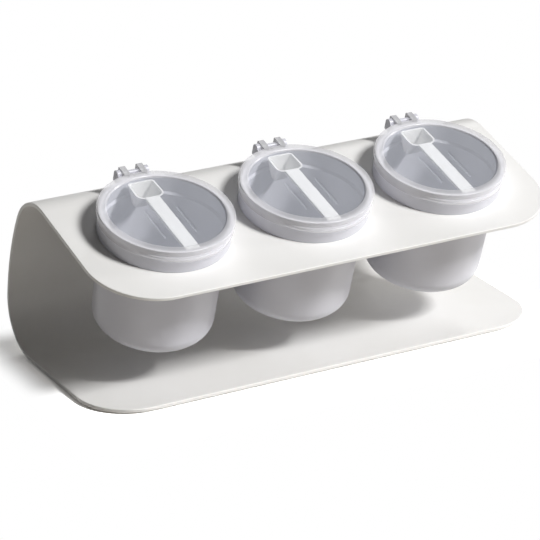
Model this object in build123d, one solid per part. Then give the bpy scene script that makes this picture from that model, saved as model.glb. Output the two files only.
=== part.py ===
from build123d import *
from math import acos, cos, degrees, radians, sin, sqrt
import os

# A seasoning set: three lidded cups hang in the sloping deck of a bent sheet stand.
# Lengths are in millimetres and angles in degrees. X runs along the row of cups, the
# back of the stand is towards +Y, and Z is up from the underside of the foot pads.

# Stand
cup_names = ["left", "middle", "right"]
sheet = 2.3
deck_slope = 15.65
deck_front_margin = 20.3
deck_back_margin = 2.3
deck_end_margin = 18.6
deck_corner_radius = 40.0
top_bend_radius = 31.6
back_lean = 29.0
back_bow_radius = 160.0
base_bend_radius = 28.0
base_front_reach = 36.0
base_corner_radius = 34.0
sheet_edge_round = 0.5

# Foot pads
pad_radius = 6.0
pad_thickness = 1.0
pad_edge_round = 0.3
pad_end_inset = 30.0
pad_front_inset = 16.0
pad_bend_inset = 10.0

# Cup
cup_body_radius = 38.3
cup_foot_radius = 37.0
cup_depth = 66.0
cup_bottom_round = 10.0
cup_wall = 1.6
cup_foot_recess = 0.8
cup_foot_ring = 13.0
cup_foot_round = 0.4
cup_over_base = 19.3
hole_clearance = 0.4
collar_overhang = 1.5
collar_height = 9.2
collar_round = 0.5
neck_step = 0.7
neck_height = 5.1
neck_wall = 1.5
neck_round = 0.4
ledge_height = 3.5

# Lid
lids_apart = 12.2
skirt_clearance = 0.7
skirt_wall = 0.8
skirt_gap = 0.2
ring_overhang = 0.4
ring_width = 5.4
ring_thickness = 1.5
ring_slope = 0.8
ring_round = 0.6
ring_edge_height = 2.7
seat_gap = 0.1
panel_drop = 1.1
panel_thickness = 1.3
panel_round = 0.3
plug_clearance = 0.8
lip_radius = 37.0
lip_proud = 2.1
lip_height = 2.6
lip_round = 0.6
notch_margin = 7.3
notch_roof = 0.5

# Hinge between a cup and its lid
hinge_behind_neck = 6.7
hinge_below_rim = 1.6
lid_opening = 110.0
bar_radius = 1.6
bar_clearance = 0.06
lug_spacing = 11.5
lug_width = 3.8
lug_round = 3.2
lug_rise = 0.5
lug_top_corner = 1.2
lug_root = 6.5
lug_neck_clearance = 0.5
lug_rim_clearance = 0.3
snap_slot = 2.6
snap_flare = 0.7
lug_side_gap = 0.3
arm_width = 2.5
arm_round = 2.8
arm_top = 0.6
arm_foot = 7.0
tray_wall = 1.4
tray_reach = 3.0
stop_gap = 0.03

# Ribs under the lid's panel: a pair that stiffens it and a pair that grips the spoon
rib_wall = 0.8
rib_drop = 1.9
rib_centre = -6.5
rib_spacing = 20.6
rib_length = 27.0
grip_gap = 0.1
grip_length = 9.0

# Spoon
handle_width = 9.6
handle_thickness = 2.0
handle_round = 0.6
handle_end_gap = 1.7
handle_end_round = 1.0
spoon_gap = 0.1
scoop_width = 18.6
scoop_back_width = 17.4
scoop_length = 17.4
scoop_corner = 2.4
scoop_shoulder = 5.0
scoop_depth = 14.5
scoop_floor_width = 9.0
scoop_floor_length = 5.0
scoop_floor_inset = 1.2
scoop_wall = 1.1
scoop_bottom_round = 1.8
scoop_back_gap = 1.7

# Sizes that follow from the ones above
hole_radius = cup_body_radius + hole_clearance
collar_radius = hole_radius + collar_overhang
neck_radius = collar_radius - neck_step
neck_bore = neck_radius - neck_wall
cup_bore = cup_body_radius - cup_wall
rim_top = collar_height + neck_height

skirt_inner = neck_radius + skirt_clearance
skirt_outer = skirt_inner + skirt_wall
skirt_bottom = collar_height + skirt_gap
lid_radius = skirt_outer + ring_overhang
ring_bottom = rim_top + seat_gap
ring_top = ring_bottom + ring_thickness
panel_top = ring_top - panel_drop
panel_bottom = panel_top - panel_thickness
plug_radius = neck_bore - plug_clearance

cup_spacing = 2 * lid_radius + lids_apart
last_cup = len(cup_names) - 1
cup_places = [(i - last_cup / 2) * cup_spacing for i in range(len(cup_names))]
stand_length = last_cup * cup_spacing + 2 * (lid_radius + deck_end_margin)
slope = radians(deck_slope)
deck_height = sheet + cup_over_base + cup_depth * cos(slope) + cup_foot_radius * sin(slope)

hinge_back = neck_radius + hinge_behind_neck
hinge_height = rim_top - hinge_below_rim
lug_inside = (lug_spacing - lug_width) / 2
lug_outside = (lug_spacing + lug_width) / 2
arm_inside = lug_outside + lug_side_gap
arm_outside = arm_inside + arm_width
lug_top = ring_top + lug_rise - hinge_height

handle_top = panel_bottom - spoon_gap
scoop_back = cup_bore - scoop_back_gap
scoop_front = scoop_back - scoop_length


def outline(corners):
    """A closed flat face through corners given as across, up and corner radius."""
    points = [(across, up) for across, up, _ in corners]
    radii = [radius for _, _, radius in corners]
    return make_face(FilletPolyline(*points, radius=radii, close=True))


def turned(corners):
    """A round solid about Z from an outline of radius, height and corner radius."""
    return revolve(Plane.XZ * outline(corners), axis=Axis.Z)


def slab(face, inside, outside):
    """Two mirrored plates cut to a Y-Z face, between two distances from the middle."""
    plate = extrude(Plane.YZ.offset(inside) * face, amount=outside - inside)
    return plate + mirror(plate, about=Plane.YZ)


def sheet_edge(side):
    """One face of the bent sheet, seen from its end and set off from its middle.

    It runs from the deck's front edge over the top bend, down the bowed back and
    round the base bend to the base's front edge, as lines and tangent arcs.
    """
    deck_heading = deck_slope
    back_heading = back_lean - 90
    deck_run = deck_front_margin + 2 * hole_radius + deck_back_margin
    fall = (
        deck_height
        - sheet / 2 * (cos(slope) + 1)
        + (hole_radius + deck_back_margin) * sin(slope)
    )
    top_fall = top_bend_radius * (cos(slope) - cos(radians(back_heading)))
    bow_share = back_bow_radius * cos(radians(back_heading)) - fall + top_fall
    bow_end = -degrees(acos((bow_share + base_bend_radius) / (back_bow_radius - base_bend_radius)))

    cup_row = Vector(sin(slope), -cos(slope)) * (sheet / 2 - side) + Vector(0, deck_height)
    along = Vector(cos(slope), sin(slope))
    start = cup_row - along * (hole_radius + deck_front_margin)
    deck = Line(start, start + along * deck_run)
    top_bend = JernArc(deck @ 1, deck % 1, top_bend_radius + side, back_heading - deck_heading)
    back = JernArc(top_bend @ 1, top_bend % 1, back_bow_radius + side, bow_end - back_heading)
    base_bend = JernArc(back @ 1, back % 1, base_bend_radius + side, -180 - bow_end)
    base = Line(base_bend @ 1, (-base_front_reach, (base_bend @ 1).Y))
    return [deck, top_bend, back, base_bend, base]


def cup_plane(place):
    """The deck's top face at one cup: X along the row, Y up the slope, Z out of the deck."""
    return Plane(origin=(place, 0, deck_height), x_dir=(1, 0, 0), z_dir=(0, -sin(slope), cos(slope)))


def make_stand():
    """The bent sheet with rounded front corners and one round hole for each cup."""
    outer = sheet_edge(sheet / 2)
    inner = sheet_edge(-sheet / 2)
    front_ends = [Line(outer[0] @ 0, inner[0] @ 0), Line(outer[-1] @ 1, inner[-1] @ 1)]
    side_view = make_face(outer + inner + front_ends)
    stand = extrude(Plane.YZ * side_view, amount=stand_length / 2, both=True)

    deck_normal = Axis((0, 0, 0), (0, -sin(slope), cos(slope)))
    stand = fillet(stand.edges().filter_by(deck_normal), deck_corner_radius)
    stand = fillet(stand.edges().filter_by(Axis.Z), base_corner_radius)
    for place in cup_places:
        stand -= cup_plane(place) * Cylinder(hole_radius, 3 * sheet)
    return fillet(stand.edges().filter_by(lambda edge: edge.length > 2 * sheet), sheet_edge_round)


def make_foot_pads(stand):
    """Four thin round pads on the flat of the base, named by their corner."""
    base_flat = stand.faces().sort_by(Axis.Z)[0].bounding_box()
    rows = {
        "front": base_flat.min.Y + pad_front_inset,
        "back": base_flat.max.Y - pad_bend_inset,
    }
    ends = {"left": pad_end_inset - stand_length / 2, "right": stand_length / 2 - pad_end_inset}
    pads = {}
    for row, y in rows.items():
        for end, x in ends.items():
            pad = Pos(x, y, -pad_thickness / 2) * Cylinder(pad_radius, pad_thickness)
            bottom_edge = pad.edges().sort_by(Axis.Z)[0]
            pads[f"foot_pad_{row}_{end}"] = fillet(bottom_edge, pad_edge_round)
    return pads


def make_cup():
    """A moulded cup: a tapered body below the deck, a collar that rests on it and a neck."""
    shell = turned([
        (0, cup_foot_recess - cup_depth, 0),
        (cup_foot_radius - cup_foot_ring, cup_foot_recess - cup_depth, cup_foot_round),
        (cup_foot_radius - cup_foot_ring + cup_foot_recess, -cup_depth, cup_foot_round),
        (cup_foot_radius, -cup_depth, cup_bottom_round),
        (cup_body_radius, 0, 0),
        (collar_radius, 0, collar_round),
        (collar_radius, collar_height, collar_round),
        (neck_radius, collar_height, 0),
        (neck_radius, rim_top, neck_round),
        (neck_bore, rim_top, neck_round),
        (neck_bore, ledge_height, 0),
        (cup_bore, ledge_height - (neck_bore - cup_bore), 0),
        (cup_bore, 0, 0),
        (cup_foot_radius - cup_wall, cup_foot_recess + cup_wall - cup_depth, cup_bottom_round - cup_wall),
        (0, cup_foot_recess + cup_wall - cup_depth, 0),
    ])
    return shell + make_bracket()


def make_bracket():
    """The cup's half of the hinge: two arms behind the neck, a round bar and a tray below.

    Across and up are measured from the bar's axis. The tray joins the arms, and its top
    is where the rounded back corners of the lid's lugs land at the full opening.
    """
    opening = radians(lid_opening)
    corner_back = lug_round - lug_top_corner
    corner_up = lug_top - lug_top_corner
    corner_fall = corner_back * sin(opening) - corner_up * cos(opening) + lug_top_corner
    tray_top = -corner_fall - stop_gap
    tray_bottom = tray_top - tray_wall
    into_neck = arm_outside**2 / (2 * neck_radius) + neck_wall / 2
    root = -hinge_behind_neck - into_neck
    arm = outline([
        (root, arm_top, 0),
        (0, arm_top, 0),
        (arm_round, 0, 0),
        (tray_reach, tray_bottom, tray_wall / 3),
        (-hinge_behind_neck / 2, tray_bottom, 0),
        (-hinge_behind_neck, -arm_foot, 0),
        (root, -arm_foot, 0),
    ])
    tray = outline([
        (root, tray_top, 0),
        (tray_reach, tray_top, 0),
        (tray_reach, tray_bottom, tray_wall / 3),
        (root, tray_bottom, 0),
    ])
    place = Pos(hinge_back, hinge_height)
    arms = slab(place * (arm + Circle(arm_round)), arm_inside, arm_outside)
    shelf = slab(place * tray, 0, (arm_inside + arm_outside) / 2)
    bar = Cylinder(bar_radius, arm_inside + arm_outside, rotation=(0, 90, 0))
    return arms + shelf + Pos(0, hinge_back, hinge_height) * bar


def make_lugs():
    """The lid's two hinge lugs, each an open hook that snaps over the cup's bar.

    Across and up are measured from the bar's axis. A web carries each hook on the ring,
    clear of the rim, and its top carries on from the ring with a slight rise.
    """
    web_bottom = hinge_below_rim + lug_rim_clearance
    web_front = lug_neck_clearance - hinge_behind_neck
    body = outline([
        (-lug_root, web_bottom, 0),
        (-lug_root, lug_top - lug_rise, 0),
        (lug_round, lug_top, lug_top_corner),
        (lug_round, 0, 0),
        (web_front, 0, 0),
        (web_front, web_bottom, 0),
    ])
    mouth = outline([
        (-snap_slot / 2, 0, 0),
        (-snap_slot / 2, -bar_radius - snap_flare, 0),
        (-snap_slot / 2 - snap_flare, -lug_round, 0),
        (-snap_slot / 2 - snap_flare, -2 * lug_round, 0),
        (snap_slot / 2 + snap_flare, -2 * lug_round, 0),
        (snap_slot / 2 + snap_flare, -lug_round, 0),
        (snap_slot / 2, -bar_radius - snap_flare, 0),
        (snap_slot / 2, 0, 0),
    ])
    hook = body + Circle(lug_round) - Circle(bar_radius + bar_clearance) - mouth
    return slab(Pos(hinge_back, hinge_height) * hook, lug_inside, lug_outside)


def make_rib_pair(out, length):
    """Two thin ribs below the panel, so far out on each side of the handle and so long."""
    top = panel_bottom + panel_thickness / 2
    bottom = panel_bottom - rib_drop
    face = Pos(rib_centre, (top + bottom) / 2) * Rectangle(length, top - bottom)
    return slab(face, out - rib_wall / 2, out + rib_wall / 2)


def make_lid():
    """A lid with a raised ring, a recessed panel, a skirt, a finger lip, ribs and two lugs."""
    shell = turned([
        (0, panel_bottom, 0),
        (plug_radius, panel_bottom, panel_round),
        (plug_radius, ring_bottom, 0),
        (skirt_inner, ring_bottom, 0),
        (skirt_inner, skirt_bottom, 0),
        (skirt_outer, skirt_bottom, 0),
        (skirt_outer, ring_top - ring_edge_height, 0),
        (lid_radius, ring_top - ring_edge_height, 0),
        (lid_radius, ring_top, ring_round),
        (lid_radius - ring_width, ring_top, ring_round),
        (lid_radius - ring_width - ring_slope, panel_top, panel_round),
        (0, panel_top, 0),
    ])
    lip = Cylinder(lip_radius, lip_height)
    lip = fillet(lip.edges().filter_by(GeomType.CIRCLE), lip_round)
    lip = Pos(0, lip_radius - skirt_outer - lip_proud, skirt_bottom + lip_height / 2) * lip
    lip -= Cylinder(skirt_inner + skirt_wall / 2, 4 * rim_top)

    notch_top = ring_bottom - notch_roof
    notch = Pos(0, hinge_back, notch_top / 2) * Box(
        2 * (arm_outside + notch_margin), hinge_back, notch_top
    )
    notch -= Cylinder(neck_radius - neck_wall / 2, 4 * rim_top)

    stiffeners = make_rib_pair(rib_spacing / 2, rib_length)
    grips = make_rib_pair(handle_width / 2 + grip_gap + rib_wall / 2, grip_length)
    return shell + lip - notch + stiffeners + grips + make_lugs()


def scoop_form(inset):
    """The scoop's form, drawn in all round by an inset.

    The mouth is square at the back with round shoulders at the handle. The walls run down
    to a small floor near the back, so the front wall is a slope that pours.
    """
    floor_back = scoop_back - scoop_floor_inset
    mouth = outline([
        (-scoop_back_width / 2, scoop_back, scoop_corner),
        (scoop_back_width / 2, scoop_back, scoop_corner),
        (scoop_width / 2, scoop_front, scoop_shoulder),
        (-scoop_width / 2, scoop_front, scoop_shoulder),
    ])
    floor = outline([
        (-scoop_floor_width / 2, floor_back, scoop_bottom_round),
        (scoop_floor_width / 2, floor_back, scoop_bottom_round),
        (scoop_floor_width / 2, floor_back - scoop_floor_length, scoop_bottom_round),
        (-scoop_floor_width / 2, floor_back - scoop_floor_length, scoop_bottom_round),
    ])
    form = loft([
        Pos(0, 0, handle_top) * offset(mouth, amount=-inset),
        Pos(0, 0, handle_top - scoop_depth + inset) * offset(floor, amount=-inset),
    ])
    return fillet(form.faces().sort_by(Axis.Z)[0].edges(), scoop_bottom_round - inset)


def make_spoon():
    """A scoop with thin tapered walls on a flat handle, carried under the lid."""
    handle_front = handle_end_gap - plug_radius
    handle_length = scoop_front + scoop_wall / 2 - handle_front
    handle = Pos(0, handle_front + handle_length / 2, handle_top - handle_thickness / 2) * Box(
        handle_width, handle_length, handle_thickness
    )
    handle = fillet(handle.edges().filter_by(Axis.Z).group_by(Axis.Y)[0], handle_end_round)
    outer_edges = handle.faces().filter_by(Axis.Z).edges().group_by(Axis.Y)[:-1]
    handle = fillet([edge for group in outer_edges for edge in group], handle_round)
    return scoop_form(0) + handle - scoop_form(scoop_wall)


def write_parts():
    """Build every piece, put the origin under the middle of the stand and write the files."""
    stand = make_stand()
    pieces = {"stand": stand}
    pieces.update(make_foot_pads(stand))
    cup = make_cup()
    lid = make_lid()
    spoon = make_spoon()
    for name, place in zip(cup_names, cup_places):
        seat = cup_plane(place).location
        pieces[f"cup_{name}"] = seat * cup
        pieces[f"lid_{name}"] = seat * lid
        pieces[f"spoon_{name}"] = seat * spoon
    to_origin = Pos(0, -stand.bounding_box().center().Y, pad_thickness)
    for name, piece in pieces.items():
        export_step(to_origin * piece, f"parts/{name}.step")


write_parts()
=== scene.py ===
from math import cos, radians, sin

import bpy
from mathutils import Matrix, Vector

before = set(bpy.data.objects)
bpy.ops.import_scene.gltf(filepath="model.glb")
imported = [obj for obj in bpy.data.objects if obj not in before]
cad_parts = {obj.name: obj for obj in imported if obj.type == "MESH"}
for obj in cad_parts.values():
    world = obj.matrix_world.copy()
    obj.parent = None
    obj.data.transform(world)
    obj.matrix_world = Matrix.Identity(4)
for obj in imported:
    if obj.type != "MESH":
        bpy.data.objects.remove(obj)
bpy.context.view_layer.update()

# ---- The stand -----------------------------------------------------------------------
# One sheet of steel, bent twice into a sloping deck, a bowed back and a flat base, with
# three round holes for the cups. It is powder coated white after the bending, so its cut
# edges are white too, and the fine satin skin of the powder shows where light grazes it.

powder_warm = (0.860, 0.850, 0.828, 1)
powder_white = (0.885, 0.877, 0.860, 1)
# Noise keeps mostly between these values, so they are the ends of each change it makes.
tint_from, tint_to = 0.35, 0.65
gloss_from, gloss_to = 0.3, 0.7


def fresh_material(name):
    """A new material, together with its nodes, its links and its shader."""
    material = bpy.data.materials.new(name)
    material.use_nodes = True
    nodes = material.node_tree.nodes
    return material, nodes, material.node_tree.links, nodes["Principled BSDF"]


def add_noise(nodes, links, scale, detail=3.0, roughness=0.55, stretch=(1, 1, 1)):
    """Noise on the piece's own coordinates, with so many waves to the metre."""
    own_place = nodes.new("ShaderNodeTexCoord")
    mapping = nodes.new("ShaderNodeMapping")
    mapping.inputs["Scale"].default_value = stretch
    noise = nodes.new("ShaderNodeTexNoise")
    noise.inputs["Scale"].default_value = scale
    noise.inputs["Detail"].default_value = detail
    noise.inputs["Roughness"].default_value = roughness
    links.new(own_place.outputs["Object"], mapping.inputs["Vector"])
    links.new(mapping.outputs["Vector"], noise.inputs["Vector"])
    return noise


def tint(nodes, links, noise, shader, dark, light):
    """The base colour wanders between two near shades as the noise does."""
    ramp = nodes.new("ShaderNodeValToRGB")
    ramp.color_ramp.elements[0].position = tint_from
    ramp.color_ramp.elements[0].color = dark
    ramp.color_ramp.elements[1].position = tint_to
    ramp.color_ramp.elements[1].color = light
    links.new(noise.outputs["Fac"], ramp.inputs["Fac"])
    links.new(ramp.outputs["Color"], shader.inputs["Base Color"])


def gloss_range(nodes, links, noise, shader, smooth, rough):
    """The roughness wanders between two values as the noise does."""
    spread = nodes.new("ShaderNodeMapRange")
    spread.inputs["From Min"].default_value = gloss_from
    spread.inputs["From Max"].default_value = gloss_to
    spread.inputs["To Min"].default_value = smooth
    spread.inputs["To Max"].default_value = rough
    links.new(noise.outputs["Fac"], spread.inputs["Value"])
    links.new(spread.outputs["Result"], shader.inputs["Roughness"])


def relief(nodes, links, noise, shader, depth, strength):
    """A bump from the noise, so many metres deep."""
    bump = nodes.new("ShaderNodeBump")
    bump.inputs["Distance"].default_value = depth
    bump.inputs["Strength"].default_value = strength
    links.new(noise.outputs["Fac"], bump.inputs["Height"])
    links.new(bump.outputs["Normal"], shader.inputs["Normal"])


def dress(node, *materials):
    """The node's own mesh is left as it is, and its slots take these materials in turn."""
    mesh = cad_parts[node].data
    mesh.materials.clear()
    for material in materials:
        mesh.materials.append(material)
    return mesh


powder_coat, nodes, links, shader = fresh_material("powder_coat_white")
tint(nodes, links, add_noise(nodes, links, scale=18), shader, powder_warm, powder_white)
gloss_range(nodes, links, add_noise(nodes, links, scale=60), shader,
            smooth=0.38, rough=0.48)
relief(nodes, links, add_noise(nodes, links, scale=1400, detail=2.0), shader,
       depth=0.00002, strength=0.35)
dress("stand", powder_coat)

# ---- The foot pads -------------------------------------------------------------------
# Four thin round pads of soft grey rubber, stuck under the corners of the base. They keep
# the sheet a millimetre off the table, and have the matt, slightly dusty skin of rubber.

rubber_dark = (0.22, 0.22, 0.215, 1)
rubber_dusty = (0.27, 0.27, 0.26, 1)

foot_rubber, nodes, links, shader = fresh_material("foot_rubber_grey")
tint(nodes, links, add_noise(nodes, links, scale=120), shader, rubber_dark, rubber_dusty)
gloss_range(nodes, links, add_noise(nodes, links, scale=300), shader,
            smooth=0.75, rough=0.9)
relief(nodes, links, add_noise(nodes, links, scale=1800, detail=2.0), shader,
       depth=0.00003, strength=0.5)
for corner in ("front_left", "front_right", "back_left", "back_right"):
    dress("foot_pad_" + corner, foot_rubber)

# ---- The cups ------------------------------------------------------------------------
# Three moulded cups of light grey polypropylene, a little cooler than the stand. The
# skin is satin from the mould, and a faint flow of the plastic runs down the body.

cup_grey = (0.625, 0.625, 0.68, 1)
cup_pale_grey = (0.665, 0.665, 0.715, 1)
flow_stretch = (1, 1, 0.35)


def let_light_in(shader, share, depth):
    """So much of the light goes into the plastic, so many metres deep in every colour."""
    shader.inputs["Subsurface Weight"].default_value = share
    shader.inputs["Subsurface Radius"].default_value = (1.0, 1.0, 1.0)
    shader.inputs["Subsurface Scale"].default_value = depth


cup_plastic, nodes, links, shader = fresh_material("cup_plastic_grey")
flow = add_noise(nodes, links, scale=14, detail=2.0, roughness=0.5, stretch=flow_stretch)
tint(nodes, links, flow, shader, cup_grey, cup_pale_grey)
gloss_range(nodes, links, add_noise(nodes, links, scale=90), shader,
            smooth=0.33, rough=0.42)
relief(nodes, links, add_noise(nodes, links, scale=900, detail=2.0), shader,
       depth=0.00001, strength=0.3)
let_light_in(shader, share=0.06, depth=0.001)
for place in ("left", "middle", "right"):
    dress("cup_" + place, cup_plastic)

# ---- The lids ------------------------------------------------------------------------
# Each lid is one moulding of milky polypropylene. Its thin flat panel is nearly clear, so
# the spoon and the cup show through it softly. The ring, skirt and lip are cloudier and
# take the light. The two solid hook lugs are thick and hide more, and their darker grey
# is painted shade on the same plastic.

lids_at = {"left": -0.095, "middle": 0.0, "right": 0.095}
lid_tilt = radians(15.65)
# Heights along a lid's axis are counted from the point this far back and this far up.
lid_back, lid_up = -0.0197, 0.09613
# The panel's top reaches out to the first radius. Its underside, with the ribs and the
# grips, reaches out to the second and lies below this height.
panel_radius = 0.0353
panel_under_radius = 0.0371
panel_under_top = 0.0136
# Behind the skirt there is nothing but the lugs.
lug_from_radius = 0.0416
ring_slot, panel_slot, lug_slot = 0, 1, 2
# Milky plastic scatters light on its way through, so lamps lose only this share of cover.
lamps_lose = 0.25


def milky(name, cover, dark, light, smooth, rough):
    """Translucent plastic, each face of which hides so much of what lies behind it."""
    material, nodes, links, shader = fresh_material(name)
    tint(nodes, links, add_noise(nodes, links, scale=30), shader, dark, light)
    gloss_range(nodes, links, add_noise(nodes, links, scale=120), shader, smooth, rough)
    relief(nodes, links, add_noise(nodes, links, scale=700, detail=2.0), shader,
           depth=0.00001, strength=0.15)
    ray = nodes.new("ShaderNodeLightPath")
    veil = nodes.new("ShaderNodeMapRange")
    veil.inputs["To Min"].default_value = cover
    veil.inputs["To Max"].default_value = cover * lamps_lose
    links.new(ray.outputs["Is Shadow Ray"], veil.inputs["Value"])
    links.new(veil.outputs["Result"], shader.inputs["Alpha"])
    return material


lid_ring = milky(
    "lid_ring_cloudy", cover=0.45, smooth=0.18, rough=0.26,
    dark=(0.77, 0.765, 0.79, 1), light=(0.83, 0.825, 0.845, 1))
lid_panel = milky(
    "lid_panel_clear", cover=0.17, smooth=0.10, rough=0.16,
    dark=(0.80, 0.83, 0.89, 1), light=(0.86, 0.89, 0.95, 1))
# The lugs are the same plastic as the ring; their darker grey is painted shade.
lid_lug = milky(
    "lid_lug_painted_shade", cover=0.80, smooth=0.30, rough=0.40,
    dark=(0.54, 0.54, 0.56, 1), light=(0.60, 0.60, 0.615, 1))


def lid_finish(middle, across):
    """Which of the three finishes a face of a lid has, from the place of its middle."""
    back, up = middle.y - lid_back, middle.z - lid_up
    along = back * cos(lid_tilt) + up * sin(lid_tilt)
    height = up * cos(lid_tilt) - back * sin(lid_tilt)
    radius = Vector((middle.x - across, along)).length
    if radius < panel_radius:
        return panel_slot
    if radius < panel_under_radius and height < panel_under_top:
        return panel_slot
    if radius > lug_from_radius and along > 0:
        return lug_slot
    return ring_slot


for place, across in lids_at.items():
    mesh = dress("lid_" + place, lid_ring, lid_panel, lid_lug)
    for face in mesh.polygons:
        face.material_index = lid_finish(face.center, across)

# ---- The spoons ----------------------------------------------------------------------
# A small scoop on a flat handle under each lid, moulded in opaque white polypropylene
# with a soft gloss. It is the brightest thing that shows through the lid.

spoon_shade = (0.80, 0.795, 0.79, 1)
spoon_white = (0.84, 0.835, 0.825, 1)

spoon_plastic, nodes, links, shader = fresh_material("spoon_plastic_white")
tint(nodes, links, add_noise(nodes, links, scale=40), shader, spoon_shade, spoon_white)
gloss_range(nodes, links, add_noise(nodes, links, scale=120), shader,
            smooth=0.28, rough=0.36)
relief(nodes, links, add_noise(nodes, links, scale=900, detail=2.0), shader,
       depth=0.00001, strength=0.3)
let_light_in(shader, share=0.3, depth=0.0015)
for place in ("left", "middle", "right"):
    dress("spoon_" + place, spoon_plastic)

# ---- The floor -----------------------------------------------------------------------
# A plain white floor that runs out past the picture. For the camera its white is raised,
# so that the lit floor is the background and the object's shadow stays on it close by.
# Past the shadow's reach round the base it is an even white, whatever light gets there.

floor_size = 12
floor_bounced = (0.53, 0.50, 0.455, 1)
floor_seen = (2.6, 2.6, 2.6, 1)
half_base = (0.155, 0.0764, 0)
shadow_reach = 0.025

bpy.ops.object.select_all(action="DESELECT")
bpy.ops.mesh.primitive_plane_add(size=floor_size, location=(0, 0, 0))
floor = bpy.context.object
floor.name = "floor"
floor_white = bpy.data.materials.new("floor_white")
floor_white.use_nodes = True
nodes, links = floor_white.node_tree.nodes, floor_white.node_tree.links
nodes.clear()


def add_step(nodes, kind, operation):
    """A node that does one step of arithmetic, on numbers or on vectors."""
    step = nodes.new(kind)
    step.operation = operation
    return step


# The floor is seen by the camera itself, in gloss, and through what lets light pass.
ray = nodes.new("ShaderNodeLightPath")
seen_or_shining = add_step(nodes, "ShaderNodeMath", "MAXIMUM")
seen = add_step(nodes, "ShaderNodeMath", "MAXIMUM")
links.new(ray.outputs["Is Camera Ray"], seen_or_shining.inputs[0])
links.new(ray.outputs["Is Glossy Ray"], seen_or_shining.inputs[1])
links.new(seen_or_shining.outputs[0], seen.inputs[0])
links.new(ray.outputs["Is Transmission Ray"], seen.inputs[1])

lit_white = nodes.new("ShaderNodeMix")
lit_white.data_type = "RGBA"
lit_white.inputs["A"].default_value = floor_bounced
lit_white.inputs["B"].default_value = floor_seen
paper = nodes.new("ShaderNodeBsdfDiffuse")
links.new(seen.outputs[0], lit_white.inputs["Factor"])
links.new(lit_white.outputs["Result"], paper.inputs["Color"])

# How far a point lies outside the rectangle of the base, and from that how even it is.
own_place = nodes.new("ShaderNodeTexCoord")
from_middle = add_step(nodes, "ShaderNodeVectorMath", "ABSOLUTE")
past_base = add_step(nodes, "ShaderNodeVectorMath", "SUBTRACT")
past_base.inputs[1].default_value = half_base
outside = add_step(nodes, "ShaderNodeVectorMath", "MAXIMUM")
outside.inputs[1].default_value = (0, 0, 0)
way_out = add_step(nodes, "ShaderNodeVectorMath", "LENGTH")
evenness = nodes.new("ShaderNodeMapRange")
evenness.interpolation_type = "SMOOTHSTEP"
evenness.inputs["From Max"].default_value = shadow_reach
even_where_seen = add_step(nodes, "ShaderNodeMath", "MULTIPLY")
links.new(own_place.outputs["Object"], from_middle.inputs[0])
links.new(from_middle.outputs["Vector"], past_base.inputs[0])
links.new(past_base.outputs["Vector"], outside.inputs[0])
links.new(outside.outputs["Vector"], way_out.inputs[0])
links.new(way_out.outputs["Value"], evenness.inputs["Value"])
links.new(evenness.outputs["Result"], even_where_seen.inputs[0])
links.new(seen.outputs[0], even_where_seen.inputs[1])

glow = nodes.new("ShaderNodeEmission")
blend = nodes.new("ShaderNodeMixShader")
output = nodes.new("ShaderNodeOutputMaterial")
links.new(even_where_seen.outputs[0], blend.inputs["Fac"])
links.new(paper.outputs["BSDF"], blend.inputs[1])
links.new(glow.outputs["Emission"], blend.inputs[2])
links.new(blend.outputs["Shader"], output.inputs["Surface"])
floor.data.materials.append(floor_white)

# ---- The light -----------------------------------------------------------------------
# A dim, even studio, which the camera sees as plain white, and four soft lamps. The key
# lamp is high at the front right, the side lamp rounds the cups from the right, and the
# back lamp and the low wall lamp keep the back of the stand from going dark.

studio_light = 0.06
studio_seen = 1.0
lamps_face = Vector((0, 0, 0.05))

world = bpy.data.worlds.new("studio")
bpy.context.scene.world = world
world.use_nodes = True
nodes, links = world.node_tree.nodes, world.node_tree.links
nodes.clear()
ray = nodes.new("ShaderNodeLightPath")
level = nodes.new("ShaderNodeMapRange")
level.inputs["To Min"].default_value = studio_light
level.inputs["To Max"].default_value = studio_seen
air = nodes.new("ShaderNodeBackground")
air.inputs["Color"].default_value = (1, 1, 1, 1)
output = nodes.new("ShaderNodeOutputWorld")
links.new(ray.outputs["Is Camera Ray"], level.inputs["Value"])
links.new(level.outputs["Result"], air.inputs["Strength"])
links.new(air.outputs["Background"], output.inputs["Surface"])


def set_up(name, data, place, target):
    """A lamp or camera goes to its place and is turned to face the target."""
    thing = bpy.data.objects.new(name, data)
    bpy.context.scene.collection.objects.link(thing)
    thing.location = place
    facing = target - Vector(place)
    thing.rotation_euler = facing.to_track_quat("-Z", "Y").to_euler()
    return thing


def add_softbox(name, place, width, height, power):
    """A rectangular studio lamp, its size in metres and its power in watts."""
    lamp = bpy.data.lights.new(name, "AREA")
    lamp.shape = "RECTANGLE"
    lamp.size = width
    lamp.size_y = height
    lamp.energy = power
    set_up(name, lamp, place, lamps_face)


add_softbox("key_lamp", (4.576, -5.856, 6.642), width=1.2, height=2.0, power=1010)
add_softbox("side_lamp", (5.582, -1.814, 1.198), width=1.0, height=1.0, power=84)
add_softbox("back_lamp", (1.617, 1.927, 1.634), width=0.6, height=0.6, power=8)
add_softbox("wall_lamp", (-0.521, 2.947, 0.209), width=1.0, height=0.6, power=20)

# ---- The camera ----------------------------------------------------------------------
# It stands to the left of the front and a little above, as far off and with as long a
# lens as the outlines of the lids, the cups and the stand in the picture ask for.

camera_place = (-0.82105, -1.44854, 0.72880)
camera_faces = Vector((-0.016667, -0.008357, 0.052425))

camera = bpy.data.cameras.new("camera")
camera.sensor_width = 36
camera.lens = 194.38
bpy.context.scene.camera = set_up("camera", camera, camera_place, camera_faces)
bpy.context.scene.view_settings.view_transform = "Standard"
